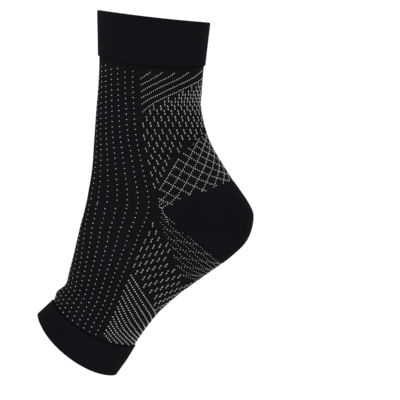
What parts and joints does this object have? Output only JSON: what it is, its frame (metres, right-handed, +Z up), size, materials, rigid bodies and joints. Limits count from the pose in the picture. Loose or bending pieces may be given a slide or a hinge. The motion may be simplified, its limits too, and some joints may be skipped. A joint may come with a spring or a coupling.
{
  "type": "plantar fasciitis sock",
  "caption": "Open-toe knitted compression sleeve for foot and ankle, shown in its worn form, with doubled welts and a heel pocket.",
  "frame": {"origin": "the ankle centre, in the middle of the hollow where the leg turns into the foot", "axes": "+Z up along the leg to the cuff, +X towards the heel, toes towards -X and down, +Y from side to side"},
  "size_m": [0.1724, 0.0726, 0.292],
  "materials": {
    "plain_knit": "fine plain black knit, matt",
    "patterned_knit": "fine black knit with a pale grey stitch pattern, matt",
    "pale_yarn": "pale grey elastic yarn, matt, for the stitch pattern"
  },
  "bodies": {
    "root": {"ankle_cuff": "plain_knit", "knit_sleeve": "patterned_knit", "heel_pocket": "plain_knit", "toe_band": "plain_knit"}
  },
  "joints": []
}
